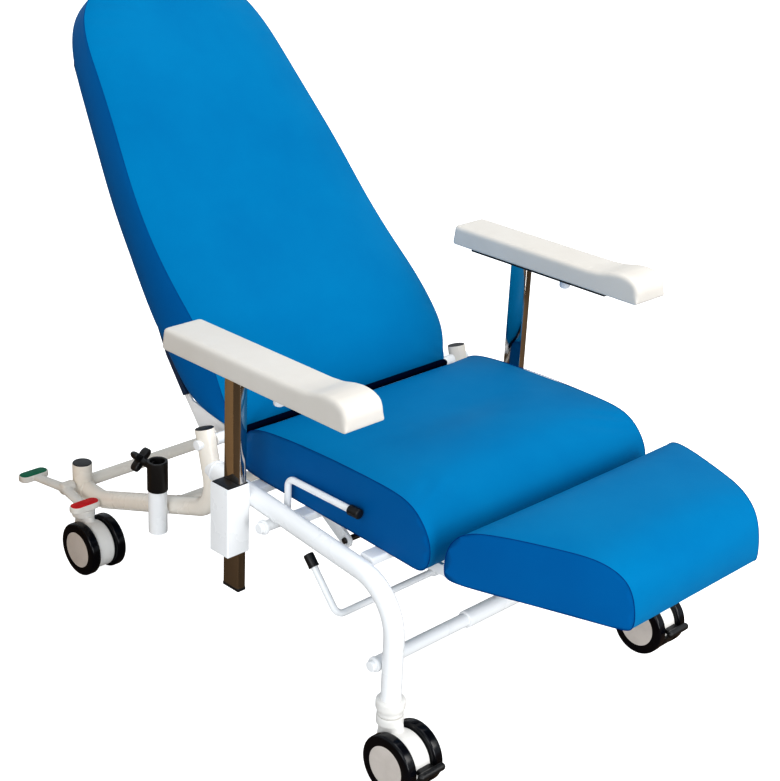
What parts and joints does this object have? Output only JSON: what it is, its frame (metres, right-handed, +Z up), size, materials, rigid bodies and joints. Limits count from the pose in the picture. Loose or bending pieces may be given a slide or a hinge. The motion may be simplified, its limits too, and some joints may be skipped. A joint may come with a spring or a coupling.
{
  "type": "patient rest chair",
  "caption": "Reclining rest chair on twin-wheel casters: padded seat, folding legrest, tilting back, height-adjustable arms, foot brake and pole holder.",
  "frame": {"origin": "floor, under the middle of the chair's overall width and length", "axes": "+Z up, +Y towards the back, +X towards the occupant's left"},
  "size_m": [0.7308, 1.3324, 1.043],
  "materials": {
    "white_paint": "satin",
    "chrome": "polished",
    "bare_steel": "satin",
    "black_plastic": "satin",
    "white_plastic": "satin",
    "ivory_foam": "matte",
    "blue_vinyl": "satin",
    "board_wood": "matte",
    "wheel_rubber": "gloss"
  },
  "bodies": {
    "frame": {"side_frame_right": "white_paint", "side_frame_left": "white_paint", "rear_leg_right": "white_paint", "rear_leg_left": "white_paint", "rear_cross_tube": "white_paint", "mid_cross_tube": "white_paint", "front_cross_tube": "white_paint", "back_pivot_shaft": "white_paint", "lever_pivot_bolt": "white_paint", "seat_bar_rear": "white_paint", "seat_bar_middle": "white_paint", "seat_bar_front": "white_paint", "spring_anchor_axle": "bare_steel", "seat_board": "board_wood", "seat_cushion": "blue_vinyl", "back_spring_cylinder": "black_plastic", "leg_spring_cylinder": "black_plastic", "leg_hinge_bracket_right": "white_paint", "leg_hinge_bracket_left": "white_paint", "leg_lever_bracket": "white_paint", "arm_sleeve_right": "white_paint", "arm_sleeve_left": "white_paint", "sleeve_guide_right": "black_plastic", "sleeve_guide_left": "black_plastic", "pole_socket": "white_paint", "pole_clamp_sleeve": "black_plastic"},
    "back": {"back_cushion": "blue_vinyl", "back_board": "board_wood", "back_bracket_right": "white_paint", "back_bracket_left": "white_paint", "back_crank": "white_paint"},
    "back_rod": {"back_spring_rod": "chrome"},
    "legrest": {"legrest_cushion": "blue_vinyl", "legrest_frame": "board_wood"},
    "leg_rod": {"leg_spring_rod": "chrome"},
    "back_lever": {"back_lever": "white_paint"},
    "leg_lever": {"leg_lever": "white_paint"},
    "clamp_knob": {"clamp_knob": "black_plastic"},
    "foot_brake": {"brake_bar": "bare_steel", "brake_pedal_right": "white_plastic", "brake_pedal_left": "white_plastic"},
    "arm_right": {"arm_post_right": "chrome", "arm_plate_right": "black_plastic", "arm_pad_right": "ivory_foam"},
    "arm_button_right": {"arm_button_right": "white_plastic"},
    "arm_left": {"arm_post_left": "chrome", "arm_plate_left": "black_plastic", "arm_pad_left": "ivory_foam"},
    "arm_button_left": {"arm_button_left": "white_plastic"},
    "caster_front_right": {"caster_housing_front_right": "white_plastic"},
    "wheels_front_right": {"caster_wheels_front_right": "wheel_rubber"},
    "caster_front_left": {"caster_housing_front_left": "white_plastic"},
    "wheels_front_left": {"caster_wheels_front_left": "wheel_rubber"},
    "caster_rear_right": {"caster_housing_rear_right": "white_plastic"},
    "wheels_rear_right": {"caster_wheels_rear_right": "wheel_rubber"},
    "caster_rear_left": {"caster_housing_rear_left": "white_plastic"},
    "wheels_rear_left": {"caster_wheels_rear_left": "wheel_rubber"},
    "front_brake_right": {"front_brake_right": "black_plastic"},
    "front_brake_left": {"front_brake_left": "black_plastic"}
  },
  "joints": [
    {"name": "back_recline", "type": "hinge", "parent": "frame", "child": "back", "pos_m": [0, 0.09537, 0.397], "axis": [-1, 0, 0], "range_deg": [-25, 40]},
    {"name": "back_rod_slide", "type": "slide", "parent": "frame", "child": "back_rod", "axis": [0, 0.988, 0.1548], "range_m": [-0.043, 0.027]},
    {"name": "legrest_fold", "type": "hinge", "parent": "frame", "child": "legrest", "pos_m": [0, -0.387, 0.34], "axis": [1, 0, 0], "range_deg": [0, 80]},
    {"name": "leg_rod_slide", "type": "slide", "parent": "frame", "child": "leg_rod", "axis": [0, -1, 0], "range_m": [-0.068, 0]},
    {"name": "back_lever_pull", "type": "hinge", "parent": "frame", "child": "back_lever", "pos_m": [-0.2705, -0.0735, 0.31876], "axis": [-1, 0, 0], "range_deg": [0, 10], "stiffness_Nm_per_rad": 3, "springref_deg": -5.73},
    {"name": "leg_lever_push", "type": "hinge", "parent": "frame", "child": "leg_lever", "pos_m": [-0.295, -0.2283, 0.2273], "axis": [-1, 0, 0], "range_deg": [0, 18], "stiffness_Nm_per_rad": 1, "springref_deg": -17.19},
    {"name": "clamp_knob_turn", "type": "hinge", "parent": "frame", "child": "clamp_knob", "pos_m": [-0.32007, 0.234, 0.319], "axis": [0, 1, 0], "continuous": true},
    {"name": "foot_brake_rock", "type": "hinge", "parent": "frame", "child": "foot_brake", "pos_m": [0, 0.492, 0.165], "axis": [1, 0, 0], "range_deg": [-18, 18]},
    {"name": "arm_height_right", "type": "slide", "parent": "frame", "child": "arm_right", "axis": [0, 0, 1], "range_m": [-0.085, 0.06]},
    {"name": "arm_button_press_right", "type": "slide", "parent": "arm_right", "child": "arm_button_right", "axis": [0, 0, 1], "range_m": [0, 0.004], "stiffness_N_per_m": 600, "springref_m": -0.002},
    {"name": "arm_height_left", "type": "slide", "parent": "frame", "child": "arm_left", "axis": [0, 0, 1], "range_m": [-0.129, 0.016]},
    {"name": "arm_button_press_left", "type": "slide", "parent": "arm_left", "child": "arm_button_left", "axis": [0, 0, 1], "range_m": [0, 0.004], "stiffness_N_per_m": 600, "springref_m": -0.002},
    {"name": "swivel_front_right", "type": "hinge", "parent": "frame", "child": "caster_front_right", "pos_m": [-0.307, -0.354, 0.1055], "axis": [0, 0, 1], "continuous": true},
    {"name": "roll_front_right", "type": "hinge", "parent": "caster_front_right", "child": "wheels_front_right", "pos_m": [-0.307, -0.385, 0.05], "axis": [1, 0, 0], "continuous": true},
    {"name": "swivel_front_left", "type": "hinge", "parent": "frame", "child": "caster_front_left", "pos_m": [0.307, -0.354, 0.1055], "axis": [0, 0, 1], "continuous": true},
    {"name": "roll_front_left", "type": "hinge", "parent": "caster_front_left", "child": "wheels_front_left", "pos_m": [0.307, -0.385, 0.05], "axis": [1, 0, 0], "continuous": true},
    {"name": "swivel_rear_right", "type": "hinge", "parent": "frame", "child": "caster_rear_right", "pos_m": [-0.268, 0.492, 0.1055], "axis": [0, 0, 1], "continuous": true},
    {"name": "roll_rear_right", "type": "hinge", "parent": "caster_rear_right", "child": "wheels_rear_right", "pos_m": [-0.268, 0.461, 0.05], "axis": [1, 0, 0], "continuous": true},
    {"name": "swivel_rear_left", "type": "hinge", "parent": "frame", "child": "caster_rear_left", "pos_m": [0.268, 0.492, 0.1055], "axis": [0, 0, 1], "continuous": true},
    {"name": "roll_rear_left", "type": "hinge", "parent": "caster_rear_left", "child": "wheels_rear_left", "pos_m": [0.268, 0.461, 0.05], "axis": [1, 0, 0], "continuous": true},
    {"name": "front_brake_press_right", "type": "hinge", "parent": "caster_front_right", "child": "front_brake_right", "pos_m": [-0.307, -0.421, 0.056], "axis": [1, 0, 0], "range_deg": [0, 20]},
    {"name": "front_brake_press_left", "type": "hinge", "parent": "caster_front_left", "child": "front_brake_left", "pos_m": [0.307, -0.421, 0.056], "axis": [1, 0, 0], "range_deg": [0, 20]}
  ],
  "couplings": [
    {"joint": "back_rod_slide", "follows": "back_recline", "m_per_rad": -0.0611},
    {"joint": "leg_rod_slide", "follows": "legrest_fold", "m_per_rad": -0.048}
  ]
}
